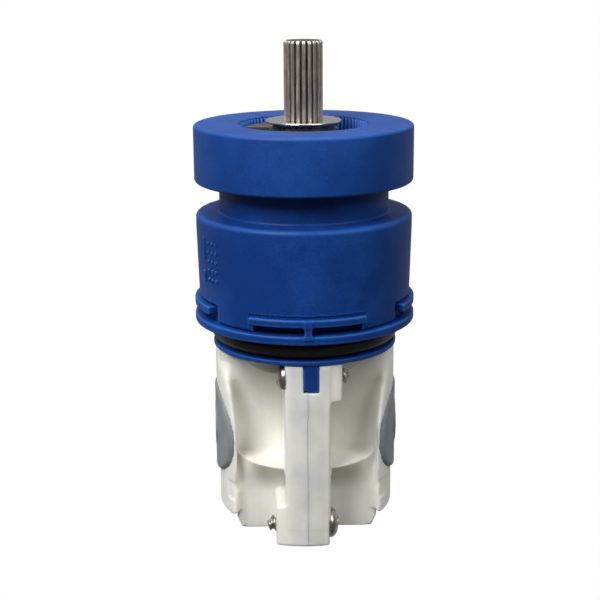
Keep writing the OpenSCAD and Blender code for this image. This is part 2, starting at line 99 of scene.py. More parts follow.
# ---------------------------------------------------------------- distance fields
projection_rounds = 3
# A field's slope is about 1, and less than these limits only where edges meet.
least_square, least_seam_square, least_length = 0.2, 0.5, 1e-6


def slab(v, low, high):
    """The part where v lies between low and high."""
    return np.maximum(low - v, v - high)


def meet(a, b, radius=0.0):
    """The part inside both, with a rounded edge."""
    if np.isscalar(radius) and not radius:
        return np.maximum(a, b)
    past_edge = np.hypot(np.maximum(radius + a, 0), np.maximum(radius + b, 0))
    return np.minimum(-radius, np.maximum(a, b)) + past_edge


def join(a, b, radius=0.0):
    """The part inside either, with a fillet in the corner."""
    return -meet(-a, -b, radius)


def cut(a, b, radius=0.0):
    """The part inside a and outside b."""
    return meet(a, -b, radius)


def arc_block(x, y, z, radii, middle, half_angle, heights, radius):
    """A ring sector round Z. Angles are in degrees from +X."""
    r = np.hypot(x, y)
    turn = np.degrees(np.arctan2(y, x)) - middle
    turn = np.abs((turn + 180) % 360 - 180)
    ends = np.radians(turn - half_angle) * np.minimum(r, radii[1])
    return meet(meet(slab(r, *radii), slab(z, *heights), radius), ends, radius)


def surface(field, low, high, step):
    """Points, quads and normals of the surface where the field is zero, by surface nets."""
    # The grid reaches at least a step and a half past the box.
    axes = [np.arange(a - 1.5 * step, b + 2.5 * step, step) for a, b in zip(low, high)]
    grid = np.meshgrid(*axes, indexing="ij")
    values = field(*grid)
    inside = values < 0
    cells = [len(a) - 1 for a in axes]
    corners = [(i, j, k) for i in (0, 1) for j in (0, 1) for k in (0, 1)]
    held = np.zeros(cells, np.int8)
    for i, j, k in corners:
        held += inside[i : cells[0] + i, j : cells[1] + j, k : cells[2] + k]
    active = (held > 0) & (held < 8)
    index = np.argwhere(active)
    at = {c: values[index[:, 0] + c[0], index[:, 1] + c[1], index[:, 2] + c[2]] for c in corners}
    total, count = np.zeros((len(index), 3)), np.zeros(len(index))
    for a in corners:
        for axis in range(3):
            if a[axis]:
                continue
            b = tuple(1 if n == axis else v for n, v in enumerate(a))
            crossed = (at[a] < 0) != (at[b] < 0)
            share = at[a][crossed] / (at[a][crossed] - at[b][crossed])
            point = np.tile(np.array(a, float), (crossed.sum(), 1))
            point[:, axis] = share
            total[crossed] += point
            count[crossed] += 1
    points = np.array([a[0] for a in axes]) + (index + total / count[:, None]) * step
    number = np.full(cells, -1)
    number[active] = np.arange(len(index))
    quads = []
    for order in ((0, 1, 2), (1, 2, 0), (2, 0, 1)):
        side, cell = inside.transpose(order), number.transpose(order)
        first, second = side[:-1, 1:-1, 1:-1], side[1:, 1:-1, 1:-1]
        i, j, k = np.nonzero(first != second)
        quad = np.stack([cell[i, j, k], cell[i, j + 1, k], cell[i, j + 1, k + 1], cell[i, j, k + 1]], 1)
        outward = first[i, j, k]
        quad[~outward] = quad[~outward][:, ::-1]
        quads.append(quad)
    for _ in range(projection_rounds):
        value, slope = field(*points.T), gradient(field, points)
        move = value[:, None] * slope / np.maximum((slope**2).sum(1), least_square)[:, None]
        points -= np.clip(move, -step / 2, step / 2)
    slope = gradient(field, points)
    normals = slope / np.maximum(np.linalg.norm(slope, axis=1), least_length)[:, None]
    return points, np.concatenate(quads), normals


def gradient(field, points, h=0.02):
    """The field's slope at each point, from differences h to each side."""
    out = np.zeros_like(points)
    for axis in range(3):
        shift = np.zeros(3)
        shift[axis] = h
        out[:, axis] = (field(*(points + shift).T) - field(*(points - shift).T)) / (2 * h)
    return out


# ---------------------------------------------------------------- meshes
def add_mesh(name, points, faces, normals=None):
    """A new object from points in millimetres, smooth shaded."""
    mesh = bpy.data.meshes.new(name)
    faces = [list(face) for face in np.asarray(faces, dtype=object)]
    mesh.from_pydata((np.asarray(points) * MM).tolist(), [], faces)
    mesh.validate()
    mesh.shade_smooth()
    if normals is not None:
        set_normals(mesh, np.asarray(normals))
    piece = bpy.data.objects.new(name, mesh)
    bpy.context.scene.collection.objects.link(piece)
    return piece


def set_normals(mesh, normals, crease=math.radians(38)):
    """Smooth normals, but a corner that is off by more than the crease angle keeps its face's own."""
    corners, of_face = np.empty(len(mesh.loops), int), np.empty(len(mesh.polygons) * 3)
    mesh.loops.foreach_get("vertex_index", corners)
    mesh.polygons.foreach_get("normal", of_face)
    sizes = np.empty(len(mesh.polygons), int)
    mesh.polygons.foreach_get("loop_total", sizes)
    flat, smooth = np.repeat(of_face.reshape(-1, 3), sizes, 0), normals[corners]
    sharp = (flat * smooth).sum(1) < math.cos(crease)
    mesh.normals_split_custom_set(np.where(sharp[:, None], flat, smooth).tolist())


def moulded(name, field, low, high, step, parted=False):
    """A piece made from a distance field. A parted piece has a sharp edge where it ends at x = 0."""
    points, quads, normals = surface(field, low, high, step)
    if parted:
        edge = np.abs(points[:, 0]) < step / 2
        points[edge, 0] = 0
        inner = points[edge]
        beside = inner + (math.copysign(step / 2, low[0] + high[0]), 0, 0)
        for _ in range(projection_rounds):
            value, slope = field(*beside.T), gradient(field, beside)
            slope[:, 0] = 0
            near = (np.abs(value) < step)[:, None]
            square = np.maximum((slope**2).sum(1), least_seam_square)[:, None]
            move = near * value[:, None] * slope / square
            beside -= move
            inner -= move
        points[edge] = inner
        # The points on the outside take its normal, and the ones on the parting face keep theirs.
        on_surface, most_parting = 0.02, 0.98
        reached = (np.abs(field(*beside.T)) < on_surface)[:, None]
        outside = np.abs(normals[edge][:, :1]) < most_parting
        slope /= np.maximum(np.linalg.norm(slope, axis=1), least_length)[:, None]
        normals[edge] = np.where(reached & outside, slope, normals[edge])
    return add_mesh(name, points, quads, normals)


def rounded(outline, steps=6):
    """An outline of (radius, height, corner radius) with each corner turned into an arc."""
    points = []
    n = len(outline)
    for i, (r, z, fillet) in enumerate(outline):
        here = np.array([r, z], float)
        if not fillet:
            points.append(here)
            continue
        before = np.array(outline[i - 1][:2], float) - here
        after = np.array(outline[(i + 1) % n][:2], float) - here
        u, v = before / np.linalg.norm(before), after / np.linalg.norm(after)
        half = math.acos(max(-1, min(1, float(u @ v)))) / 2
        reach = fillet / math.tan(half)
        middle = here + (u + v) / np.linalg.norm(u + v) * fillet / math.sin(half)
        start, end = here + u * reach - middle, here + v * reach - middle
        a, b = math.atan2(start[1], start[0]), math.atan2(end[1], end[0])
        sweep = (b - a + math.pi) % (2 * math.pi) - math.pi
        for s in range(steps + 1):
            t = a + sweep * s / steps
            points.append(middle + fillet * np.array([math.cos(t), math.sin(t)]))
    return points


def lathe(name, outline, columns, wobble=None, closed=True):
    """A turned piece. wobble(angles, r, z) gives the radii round the row at that radius and height."""
    angles = np.arange(columns) * 2 * math.pi / columns
    rows = []
    for r, z in outline:
        radius = np.full(columns, r) if wobble is None else wobble(angles, r, z)
        rows.append(np.stack([radius * np.cos(angles), radius * np.sin(angles), np.full(columns, z)], 1))
    points, faces = np.concatenate(rows), []
    count = len(outline)
    for i in range(count if closed else count - 1):
        j = (i + 1) % count
        for c in range(columns):
            d = (c + 1) % columns
            faces.append((i * columns + c, i * columns + d, j * columns + d, j * columns + c))
    if not closed:
        faces.append(tuple(range(columns))[::-1])
        faces.append(tuple((count - 1) * columns + c for c in range(columns)))
    return add_mesh(name, points, faces)


# ---------------------------------------------------------------- materials
class Shader:
    """A Principled material with short names for the nodes that it is made of."""

    def __init__(self, name, **settings):
        self.material = bpy.data.materials.new(name)
        self.material.use_nodes = True
        self.tree = self.material.node_tree
        self.tree.nodes.clear()
        out = self.tree.nodes.new("ShaderNodeOutputMaterial")
        self.bsdf = self.tree.nodes.new("ShaderNodeBsdfPrincipled")
        self.tree.links.new(self.bsdf.outputs[0], out.inputs["Surface"])
        for key, value in settings.items():
            self.set(key.replace("_", " "), value)
        self.place = self.tree.nodes.new("ShaderNodeTexCoord").outputs["Object"]

    def feed(self, socket, value):
        """Links a node's output to the socket, or sets the socket to a constant."""
        if isinstance(value, bpy.types.NodeSocket):
            self.tree.links.new(value, socket)
        else:
            socket.default_value = value

    def set(self, socket, value):
        self.feed(self.bsdf.inputs[socket], value)

    def stretch(self, scale):
        """The place on the object, scaled along each axis."""
        node = self.tree.nodes.new("ShaderNodeMapping")
        node.inputs["Scale"].default_value = scale
        self.tree.links.new(self.place, node.inputs["Vector"])
        return node.outputs[0]

    def noise(self, size_mm, detail=3.0, rough=0.55, vector=None):
        """Noise whose lumps are about size_mm across."""
        node = self.tree.nodes.new("ShaderNodeTexNoise")
        node.inputs["Scale"].default_value = 1 / (size_mm * MM)
        node.inputs["Detail"].default_value = detail
        node.inputs["Roughness"].default_value = rough
        self.tree.links.new(vector or self.place, node.inputs["Vector"])
        return node.outputs[0]

    def ramp(self, value, *stops):
        """A colour from a value, by stops of (position, colour)."""
        node = self.tree.nodes.new("ShaderNodeValToRGB")
        ramp = node.color_ramp
        while len(ramp.elements) < len(stops):
            ramp.elements.new(0.5)
        for element, (position, colour) in zip(ramp.elements, stops):
            element.position = position
            element.color = (*colour, 1)
        self.tree.links.new(value, node.inputs[0])
        return node.outputs[0]

    def level(self, value, low, high, to_low, to_high):
        """The value moved from one range to another, and held at its ends."""
        node = self.tree.nodes.new("ShaderNodeMapRange")
        for key, number in zip(("From Min", "From Max", "To Min", "To Max"), (low, high, to_low, to_high)):
            node.inputs[key].default_value = number
        self.tree.links.new(value, node.inputs["Value"])
        return node.outputs[0]

    def maths(self, operation, a, b):
        node = self.tree.nodes.new("ShaderNodeMath")
        node.operation = operation
        for socket, value in zip(node.inputs, (a, b)):
            self.feed(socket, value)
        return node.outputs[0]

    def blend(self, share, base, colour):
        """The base colour, with a share of another colour over it."""
        node = self.tree.nodes.new("ShaderNodeMix")
        node.data_type = "RGBA"
        for number, value in ((0, share), (6, base), (7, (*colour, 1))):
            self.feed(node.inputs[number], value)
        return node.outputs[2]

    def bump(self, height, strength, depth_mm):
        node = self.tree.nodes.new("ShaderNodeBump")
        node.inputs["Strength"].default_value = strength
        node.inputs["Distance"].default_value = depth_mm * MM
        self.tree.links.new(height, node.inputs["Height"])
        self.tree.links.new(node.outputs[0], self.bsdf.inputs["Normal"])

    def along(self, axis):
        """How far a point is from the middle plane across X, Y or Z, in metres."""
        node = self.tree.nodes.new("ShaderNodeSeparateXYZ")
        self.tree.links.new(self.place, node.inputs[0])
        return self.maths("ABSOLUTE", node.outputs[axis], 0.0)

    def edges(self, low=0.505, high=0.56):
        """0 on flat faces and 1 along convex edges, from how the mesh bends."""
        node = self.tree.nodes.new("ShaderNodeNewGeometry")
        return self.level(node.outputs["Pointiness"], low, high, 0, 1)

    def from_axis(self):
        """Distance from the Z axis, in metres."""
        squares = [self.maths("POWER", self.along(axis), 2.0) for axis in "XY"]
        return self.maths("SQRT", self.maths("ADD", *squares), 0.0)


def blue_plastic():
    """Moulded blue plastic: mottled by the glass fibre in it, paler along convex edges, partly rubbed and
    partly a painted highlight.
    """
    s = Shader("blue_plastic", IOR=1.5, Specular_IOR_Level=0.22)
    fine, broad, specks = s.noise(0.35, 4, 0.65), s.noise(13, 3, 0.55), s.noise(0.16, 2, 0.7)
    dark, middle, pale = (0.002, 0.024, 0.135), (0.003, 0.038, 0.21), (0.005, 0.057, 0.285)
    base = s.ramp(fine, (0.25, dark), (0.55, middle), (0.8, pale))
    base = s.blend(s.level(broad, 0.38, 0.6, 0.6, 0.0), base, (0.0015, 0.027, 0.155))
    base = s.blend(s.level(broad, 0.48, 0.74, 0.0, 0.4), base, (0.009, 0.075, 0.31))
    base = s.blend(s.level(specks, 0.68, 0.8, 0.0, 0.5), base, (0.03, 0.15, 0.46))
    # Convex edges are painted paler: partly rubbed wear, partly a painted highlight.
    s.set("Base Color", s.blend(s.maths("MULTIPLY", s.edges(), 0.5), base, (0.02, 0.14, 0.5)))
    s.set("Roughness", s.level(fine, 0.3, 0.7, 0.42, 0.58))
    s.bump(s.maths("ADD", fine, s.maths("MULTIPLY", specks, 0.5)), 0.35, 0.05)
    return s.material


def natural_acetal():
    """Off-white unfilled acetal: slightly translucent, with faint flow clouding, painted shade on the
    flanges and dirt along the parting line.
    """
    s = Shader("natural_acetal", IOR=1.48)
    clouds, fine = s.noise(9, 3), s.noise(0.5, 3, 0.6)
    drawn = s.noise(1.2, 2, 0.5, s.stretch((1.0, 1.0, 0.12)))
    base = s.ramp(clouds, (0.3, (0.78, 0.77, 0.70)), (0.7, (0.86, 0.86, 0.80)))
    base = s.blend(s.level(drawn, 0.45, 0.75, 0.0, 0.25), base, (0.76, 0.75, 0.67))
    # The flanges are greyed by painted shade, and dirt sits in stretches of the line where the halves meet.
    on_flange = s.level(s.along("X"), 3.0 * MM, 6.0 * MM, 1, 0)
    flange_painted_shade = s.maths("MULTIPLY", on_flange, s.level(clouds, 0.35, 0.6, 0.25, 0.8))
    base = s.blend(flange_painted_shade, base, (0.55, 0.555, 0.53))
    on_line = s.level(s.along("X"), 0.03 * MM, 0.09 * MM, 1, 0)
    dirt = s.maths("MULTIPLY", on_line, s.level(s.noise(6, 2), 0.52, 0.7, 0, 0.45))
    base = s.blend(dirt, base, (0.25, 0.24, 0.22))
    s.set("Base Color", base)
    s.set("Subsurface Weight", 0.5)
    s.set("Subsurface Radius", (1.0, 0.85, 0.6))
    s.set("Subsurface Scale", 0.003)
    s.set("Roughness", s.level(fine, 0.3, 0.7, 0.36, 0.5))
    s.bump(s.maths("ADD", fine, s.maths("MULTIPLY", drawn, 1.5)), 0.2, 0.04)
    return s.material


def rubber(name, dark, pale, roughness):
    """Moulded rubber with a little dust on it."""
    s = Shader(name, IOR=1.5)
    dust, fine = s.noise(2.5, 4, 0.6), s.noise(0.2, 2, 0.6)
    s.set("Base Color", s.ramp(dust, (0.35, dark), (0.75, pale)))
    s.set("Roughness", s.level(dust, 0.3, 0.7, roughness - 0.06, roughness + 0.1))
    s.bump(fine, 0.25, 0.02)
    return s.material


def spindle_steel():
    """Bare stainless steel with broached teeth: drawn marks along the axis, brown handling stain and painted
    shade in the roots of the teeth.
    """
    s = Shader("spindle_steel", Metallic=1.0)
    drawn = s.noise(0.25, 3, 0.6, s.stretch((1.0, 1.0, 0.05)))
    stain = s.noise(2.2, 4, 0.6)
    base = s.ramp(drawn, (0.3, (0.48, 0.42, 0.35)), (0.7, (0.80, 0.73, 0.64)))
    base = s.blend(s.level(stain, 0.45, 0.75, 0.0, 0.45), base, (0.21, 0.17, 0.13))
    # Painted shade: the roots between the teeth are darkened.
    groove_painted_shade = s.level(s.from_axis(), 3.45 * MM, 3.75 * MM, 1, 0)
    s.set("Base Color", s.blend(groove_painted_shade, base, (0.13, 0.105, 0.085)))
    s.set("Roughness", s.level(drawn, 0.3, 0.7, 0.34, 0.48))
    s.bump(drawn, 0.12, 0.02)
    return s.material


def polished_steel():
    """Polished steel with fine turning rings round the spindle's axis."""
    s = Shader("polished_steel", Metallic=1.0)
    rings = s.tree.nodes.new("ShaderNodeTexWave")
    rings.wave_type, rings.rings_direction = "RINGS", "Z"
    ring_scale, unevenness = 1500, 0.6
    rings.inputs["Scale"].default_value = ring_scale
    rings.inputs["Distortion"].default_value = unevenness
    s.tree.links.new(s.place, rings.inputs["Vector"])
    smear = s.noise(3, 3)
    s.set("Base Color", s.ramp(smear, (0.3, (0.62, 0.60, 0.56)), (0.7, (0.78, 0.76, 0.72))))
    s.set("Roughness", s.level(smear, 0.3, 0.7, 0.12, 0.24))
    s.bump(rings.outputs[1], 0.08, 0.01)
    return s.material


def stained_steel():
    """The stop plate under the washer: dull steel, browned by grease and wear."""
    s = Shader("stained_steel", Metallic=1.0)
    stain, fine = s.noise(1.4, 4, 0.65), s.noise(0.12, 2)
    s.set("Base Color", s.ramp(stain, (0.35, (0.09, 0.075, 0.055)), (0.65, (0.34, 0.29, 0.22))))
    s.set("Roughness", s.level(stain, 0.3, 0.7, 0.5, 0.3))
    s.bump(fine, 0.2, 0.015)
    return s.material


def screw_steel():
    """Plated screw steel, a little dull and stained in the recesses."""
    s = Shader("screw_steel", Metallic=1.0)
    stain, fine = s.noise(1.5, 4, 0.65), s.noise(0.15, 2)
    s.set("Base Color", s.ramp(stain, (0.35, (0.33, 0.29, 0.26)), (0.6, (0.66, 0.61, 0.57))))
    s.set("Roughness", s.level(stain, 0.3, 0.7, 0.36, 0.22))
    s.bump(fine, 0.2, 0.015)
    return s.material


def turned_brass():
    """Machined brass, unevenly tarnished."""
    s = Shader("turned_brass", Metallic=1.0)
    smear, fine = s.noise(2.5, 3), s.noise(0.2, 2)
    s.set("Base Color", s.ramp(smear, (0.3, (0.50, 0.33, 0.12)), (0.7, (0.72, 0.52, 0.23))))
    s.set("Roughness", s.level(fine, 0.3, 0.7, 0.24, 0.36))
    s.bump(fine, 0.15, 0.01)
    return s.material


def plain_plastic(name, dark, pale):
    """Moulded plastic for the pieces inside."""
    s = Shader(name, IOR=1.48)
    clouds, fine = s.noise(5, 3), s.noise(0.3, 3)
    s.set("Base Color", s.ramp(clouds, (0.3, dark), (0.7, pale)))
    s.set("Roughness", s.level(fine, 0.3, 0.7, 0.4, 0.55))
    s.bump(fine, 0.2, 0.02)
    return s.material


def lapped_ceramic():
    """Off-white alumina with a lapped shine."""
    s = Shader("lapped_ceramic", IOR=1.7)
    grain, fine = s.noise(1.8, 4, 0.6), s.noise(0.08, 2)
    s.set("Base Color", s.ramp(grain, (0.3, (0.78, 0.76, 0.69)), (0.7, (0.86, 0.85, 0.8))))
    s.set("Roughness", s.level(fine, 0.3, 0.7, 0.12, 0.25))
    s.bump(fine, 0.1, 0.005)
    return s.material


materials = {
    "blue_plastic": blue_plastic(),
    "natural_acetal": natural_acetal(),
    "black_rubber": rubber("black_rubber", (0.004, 0.004, 0.004), (0.015, 0.0145, 0.014), 0.36),
    "grey_rubber": rubber("grey_rubber", (0.20, 0.215, 0.225), (0.27, 0.285, 0.295), 0.45),
    "spindle_steel": spindle_steel(),
    "polished_steel": polished_steel(),
    "screw_steel": screw_steel(),
    "brass": turned_brass(),
    "black_plastic": plain_plastic("black_plastic", (0.012, 0.012, 0.013), (0.022, 0.022, 0.024)),
    "white_plastic": plain_plastic("white_plastic", (0.70, 0.70, 0.66), (0.80, 0.80, 0.77)),
    "ceramic": lapped_ceramic(),
}
slots = {part["node"]: part["material_slot"] for part in frame["record"]["subparts"]}
bodies = frame["record"]["behaviour"]["bodies"]
body_of = {node: body for body, nodes in bodies.items() for node in nodes}


def finish_piece(piece, node):
    """Puts a finished piece in the place of a CAD node."""
    piece.data.materials.clear()
    piece.data.materials.append(materials[slots[node]])
    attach(piece, body_of[node])
    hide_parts(node)


# ---------------------------------------------------------------- collar
def collar_teeth(angles, r, z):
    """Radius round one row: the bore's row is cut into pointed teeth, and every other row is round."""
    sliver = 0.01
    if r > serration_r + sliver:
        return np.full(len(angles), r)
    phase = np.abs((angles / (2 * math.pi) * serrations + 0.5) % 1 - 0.5) * 2
    lead_in = np.clip((r - serration_r + sliver) / sliver, 0, 1)
    return r - tooth_h * np.clip(1.15 - phase * 1.6, 0, 1) * lead_in


def make_collar():
    low, high = collar_low[2], collar_high[2]
    columns_per_tooth = 10
    outline = rounded([
        (neck_r, low, 0.4), (collar_r, low, 0.7), (collar_r, high, 0.7), (serration_r, high, 0.3),
        (serration_r, recess_floor, 0), (neck_r, recess_floor, 0),
    ])
    piece = lathe("collar_toothed", outline, serrations * columns_per_tooth, collar_teeth)
    finish_piece(piece, "serrated_collar")


# ---------------------------------------------------------------- upper housing
skirt_draft, draft_top = 0.5, shoulder_z - 3
inside_top, top_wall = 63.2, 2.4
boss_r, boss_top = 6.9, plate_low[2] - 0.8
bush_r, bush_top, shaft_r, shaft_low = 6.1, 74, 5.6, 70
# The stop that ends the plate's travel: its direction, half its angle, and the radii of its faces.
stop_at, stop_half, stop_foot_r, stop_r, stop_outer_r = 113, 11, 5.9, 7.45, 8.8
side_window_r, side_window_half = 17.2, 35
rib_window_half, rib_slot_r, rib_slot_half = 32, 19.6, 30
upper_core_radii, upper_core_half = (9.6, 14.6), 24


def core_turn(x, y):
    """Degrees from the middle of the nearest of six equal sectors, where the hollows are cored."""
    return np.abs((np.degrees(np.arctan2(y, x)) % 60) - 30)


def housing_field(x, y, z):
    """The skirt, shoulder and neck, with the boss and stop in the recess and the windows at the foot."""
    r = np.hypot(x, y)
    skirt_r = np.interp(z, [skirt_z, draft_top], [housing_r - skirt_draft, housing_r])
    shell = meet(r - skirt_r, slab(z, skirt_z, shoulder_z), 0.9)
    shell = meet(shell, skirt_z - z)
    neck = meet(r - neck_r, slab(z, skirt_z, recess_floor), 0.2)
    out = join(shell, neck, 0.5)
    out = join(out, meet(r - boss_r, slab(z, skirt_z, boss_top), 0.15), 0.3)
    foot = (stop_foot_r, stop_outer_r), stop_at, stop_half, (recess_floor - 1, boss_top)
    stop = (stop_r, stop_outer_r), stop_at, stop_half, (recess_floor, housing_high[2])
    out = join(join(out, arc_block(x, y, z, *foot, 0.1)), arc_block(x, y, z, *stop, 0.1))
    for middle in (0, 180):
        window = (side_window_r, beyond), middle, side_window_half, (0, window_top)
        out = cut(out, arc_block(x, y, z, *window, 0.3), 0.15)
    for middle in (90, 270):
        window = (rib_inner_r - 0.3, beyond), middle, rib_window_half, (0, rib_top + 0.45)
        out = cut(out, arc_block(x, y, z, *window, 0.1), 0.1)
        slot = (rib_slot_r, beyond), middle, rib_slot_half, (0, rib_low)
        out = cut(out, arc_block(x, y, z, *slot, 0.2), 0.1)
    out = cut(out, meet(r - skirt_inner_r, slab(z, 0, inside_top), 0.4), 0.2)
    out = cut(out, meet(r - bush_r, slab(z, 0, bush_top)))
    out = cut(out, meet(r - shaft_r, slab(z, shaft_low, 100)))
    core = meet(slab(r, *upper_core_radii), z - recess_floor + top_wall, 0.5)
    out = cut(out, meet(core, np.radians(core_turn(x, y) - upper_core_half) * r, 0.5))
    return join(out, housing_marks(x, y, z), 0.08)


def housing_marks(x, y, z):
    """Generic raised marks in place of the maker's: two bars and a block of dots."""
    r = np.hypot(x, y)
    turn = np.degrees(np.arctan2(y, x)) % 360
    # Far outside every mark, where none has been drawn yet.
    out = np.full(np.shape(r), 9.0)
    reach = housing_r + 0.2
    bar_turns, bar_heights = (202.5, 204.6), ((59.8, 64.6), (55.2, 57.6))
    for heights in bar_heights:
        bar = meet(slab(turn, *bar_turns) * math.radians(1) * housing_r, slab(z, *heights), 0.2)
        out = np.minimum(out, meet(bar, slab(r, housing_r - 1, reach), 0.12))
    columns, first_turn, turn_step = 3, 209, 3.4
    rows, first_z, z_step, dot_r = 5, 56.0, 1.9, 0.42
    for column in range(columns):
        for row in range(rows):
            at = math.radians(first_turn + turn_step * column)
            middle = (housing_r * math.cos(at), housing_r * math.sin(at), first_z + z_step * row)
            away = np.sqrt((x - middle[0]) ** 2 + (y - middle[1]) ** 2 + (z - middle[2]) ** 2)
            out = np.minimum(out, meet(away - dot_r, r - reach, 0.1))
    return out


def make_upper_housing():
    edge = housing_r + 0.4
    low, high = (-edge, -edge, skirt_z), (edge, edge, housing_high[2])
    finish_piece(moulded("housing_upper", housing_field, low, high, 0.34), "upper_housing")


# ---------------------------------------------------------------- lower housing
hook_t, tab_half, rib_half, web_half_t = 1.3, 30, 31, 0.73
tab_wall_r, tab_root_r = 17.4, 19.8
# The key below the lip, which stands in the casing's slot: its two sides, its foot and the step in it.
key_sides, key_foot_z, key_step = (-0.85, 2.25), 33.9, (0.05, 34.35)
disc_seat_r, disc_seat_z = 15.6, 48.1
seal_pocket_r, seal_pocket_z = 4.25, 46.6
lower_core_radii, lower_core_top, lower_core_half = (11.6, 14.4), 45.2, 23
disc_key_radii, disc_key_half, disc_key_heights = (14.5, 16.1), 4, (47.5, 51.4)


def lower_field(x, y, z):
    """The bayonet ring with its ribs and tabs, the cup above it, and the groove, lip and keys below."""
    r = np.hypot(x, y)
    cup = meet(r - skirt_inner_r + 0.05, slab(z, ring_top - 2, lower_high[2]), 0.3)
    out = join(cup, meet(r - ring_r, slab(z, ring_top - ring_t, ring_top), 0.35))
    out = join(out, meet(r - groove_r, slab(z, lip_z, ring_top)), 0.2)
    out = join(out, meet(r - lip_r, slab(z, lip_z, groove_z), 0.3), 0.2)
    out = join(out, meet(r - spigot_r, slab(z, lower_low[2], lip_z + 0.5)))
    out = join(out, meet(r - hook_r, slab(z, lower_low[2], lower_low[2] + hook_t), 0.2))
    for middle in (0, 180):
        wall = (tab_wall_r, tab_inner_r), middle, tab_half, (ring_top - 1, rib_top)
        tab = (tab_root_r, ring_r), middle, tab_half, (rib_low - 0.1, rib_top)
        out = join(join(out, arc_block(x, y, z, *wall, 0.2)), arc_block(x, y, z, *tab, 0.3), 0.3)
    for side in (-1, 1):
        rib = arc_block(x, y, z, (rib_inner_r, ring_r), 90 * side, rib_half, (rib_low, rib_top), 0.32)
        web = meet(slab(x, -web_half_t, web_half_t), slab(r, rib_inner_r, ring_r), 0.1)
        web = meet(meet(web, slab(z, ring_top - 0.5, rib_top - 0.4)), -side * y)
        out = join(out, join(rib, web, 0.75), 0.55)
        across = side * -x
        key = meet(slab(across, *key_sides), slab(r, casing_r - 1.6, casing_r - 0.05), 0.15)
        key = meet(meet(key, slab(z, key_foot_z, lip_z + 0.4), 0.15), -side * y)
        out = join(out, cut(key, meet(slab(across, -3, key_step[0]), slab(z, 30, key_step[1]))))
    out = cut(out, meet(r - disc_seat_r, disc_seat_z - z, 0.3), 0.2)
    for turn in (0, 90, 180):
        at = math.radians(turn)
        away = np.hypot(x - port_circle_r * math.cos(at), y - port_circle_r * math.sin(at))
        out = cut(out, away - disc_port_r, 0.1)
        out = cut(out, meet(away - seal_pocket_r, seal_pocket_z - z), 0.1)
    core = meet(slab(r, *lower_core_radii), z - lower_core_top, 0.4)
    out = cut(out, meet(core, np.radians(core_turn(x, y) - lower_core_half) * r, 0.4), 0.1)
    for middle in (135, 315):
        key = arc_block(x, y, z, disc_key_radii, middle, disc_key_half, disc_key_heights, 0.15)
        out = join(out, key)
    return out


def make_lower_housing():
    low, high = (-ring_r, -ring_r, lower_low[2]), (ring_r, ring_r, lower_high[2])
    finish_piece(moulded("housing_lower", lower_field, low, high, 0.27), "lower_housing")


# ---------------------------------------------------------------- casing
flange_x, pad_x, pad_z = 4.5, 15.0, 3.5
upper_boss_x, upper_boss_z, lower_boss_x, lower_boss_z = 7.1, 31.4, 6.7, 9
screw_y, upper_screw_z, lower_screw_z = -15.0, 36.2, 3.8
screw_seat, head_r = 4.35, 3.3
casing_draft, flange_inner_y, core_top, core_chamfer = 0.4, 4, 10, 2.4
key_slot_sides, key_slot_z, key_slot_y = (-0.95, 2.35), 33.8, 17.2
spigot_hole_z, gasket_top, sleeve_hole_r, sleeve_end_x = 37, 37.3, 6.5, 12.6
mark_depth, mark_half, mark_heights = 0.55, 4.3, (7.1, 11.1)
ledge_z, ledge_r, ledge_t = 16.3, 16.0, 0.35
scoop_y, scoop_r, scoop_z, scoop_depth = 4.6, 21.2, 20.0, 12.9
lower_wall_y, cove_h = 8.5, 7.5
port_floor_x, chamber_x, chamber_half_y, chamber_z = 14.6, (10.9, 15), 2.9, (8, 26.5)
outlet_half_x, outlet_y, outlet_z, outlet_riser_z = 7.2, (5, 9.3), (28.5, 33.3), 29
seal_floor_r = casing_r - 0.7
seal_round_r, seal_round_z, seal_base_r, seal_proud = 10.8, 20.6, 20, 0.35


# The inner face of a side pad opens out towards the top: its height and how far it is from the middle.
pad_heights = [24, 28, 31, 33.5, 35.6, 37]
pad_reaches = [pad_x - 0.15, 15.1, 15.5, 16.2, 17.3, 18.1]


def pad_side(ax, z):
    """Distance past the inner face of a side pad."""
    return ax - np.interp(z, pad_heights, pad_reaches)


def scoop_field(x, y, z):
    """The hollows between a flange and a pad, above and below the ledge, in one quarter."""
    ax, ay = np.abs(x), np.abs(y)
    past_pad, past_flange = pad_side(ax, z), flange_x - ax
    # The upper wall leans out as it rises, and reaches the outside just under the lip.
    rise = np.clip(z - scoop_z, 0, 0.98 * scoop_r)
    across = np.sqrt(scoop_r**2 - rise**2)
    outside = np.sqrt(np.maximum((casing_r - 0.9) ** 2 - x**2, 0))
    wall_y = scoop_y + (scoop_r - across) / scoop_depth * (outside - scoop_y)
    upper = (wall_y - ay) * across / scoop_r
    between = meet(meet(upper, past_pad, np.interp(z, [16, 21], [1.0, 3.2])), past_flange, 0.8)
    upper = meet(between, ledge_z - z, 0.8)
    # The lower wall hangs from the ledge's front edge, and curves back below it.
    reach = np.sqrt(np.maximum(ledge_r**2 - x**2, 0)) - lower_wall_y
    share = np.clip((z - ledge_z + ledge_t) / cove_h + 1, 0, 1)
    lower = (lower_wall_y + reach * share**2 - ay) / np.hypot(1, 2 * reach * share / cove_h)
    lower = np.maximum(lower, z - ledge_z + ledge_t)
    lower = meet(meet(lower, past_pad, 0.4 + 2.1 * (1 - share)), past_flange, 0.8)
    rim = meet(ledge_r - np.hypot(x, y), slab(z, ledge_z - ledge_t, ledge_z + 1))
    return np.minimum(np.minimum(upper, lower), np.maximum(rim, between))


